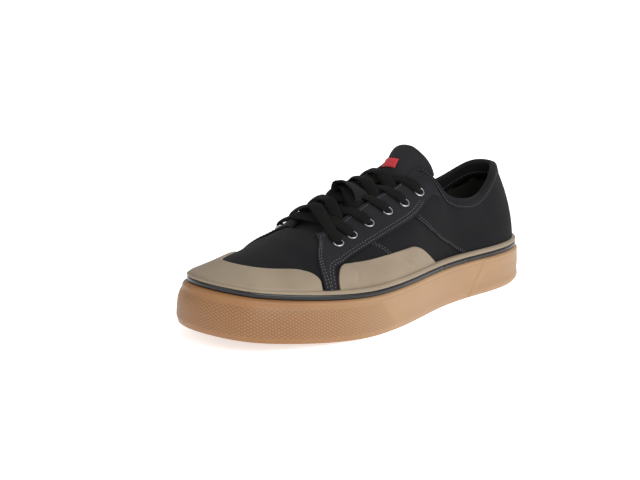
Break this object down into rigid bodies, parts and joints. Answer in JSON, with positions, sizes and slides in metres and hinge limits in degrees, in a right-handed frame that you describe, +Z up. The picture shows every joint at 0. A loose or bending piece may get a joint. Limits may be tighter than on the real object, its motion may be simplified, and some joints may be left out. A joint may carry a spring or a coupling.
{
  "type": "skateboarding shoe",
  "caption": "Low left skateboarding shoe with a canvas upper, suede lace facings, tan rubber toe cap and side patch, flat black laces and a gum cup sole.",
  "frame": {"origin": "on the floor under the middle of the shoe's bounding box", "axes": "+X from the heel to the toe, +Y to the outer side, +Z up"},
  "size_m": [0.301, 0.1114, 0.1127],
  "materials": {
    "gum": "translucent sandy gum rubber, matt",
    "black_rubber": "glossy black rubber",
    "tan_rubber": "smooth matt tan rubber",
    "canvas": "black plain-weave canvas",
    "suede": "black suede with a short nap",
    "footbed": "dark olive-black lining cloth",
    "lace": "black flat braid",
    "eyelet_metal": "dark gunmetal",
    "label_red": "bare red woven tab"
  },
  "bodies": {
    "root": {"outsole": "gum", "foxing_black": "black_rubber", "foxing_tan": "tan_rubber", "insole": "footbed", "upper": "canvas", "toe_cap": "tan_rubber", "side_wrap": "tan_rubber", "eyestay_lateral": "suede", "eyestay_medial": "suede", "heel_panel": "canvas", "collar_band": "canvas", "tongue": "canvas", "tongue_label": "label_red", "lace_keeper": "lace", "eyelet_lateral_1": "eyelet_metal", "eyelet_lateral_2": "eyelet_metal", "eyelet_lateral_3": "eyelet_metal", "eyelet_lateral_4": "eyelet_metal", "eyelet_lateral_5": "eyelet_metal", "eyelet_lateral_6": "eyelet_metal", "eyelet_medial_1": "eyelet_metal", "eyelet_medial_2": "eyelet_metal", "eyelet_medial_3": "eyelet_metal", "eyelet_medial_4": "eyelet_metal", "eyelet_medial_5": "eyelet_metal", "eyelet_medial_6": "eyelet_metal", "lace_crossing_1": "lace", "lace_crossing_2": "lace", "lace_crossing_3": "lace", "lace_crossing_4": "lace", "lace_crossing_5": "lace"}
  },
  "joints": []
}
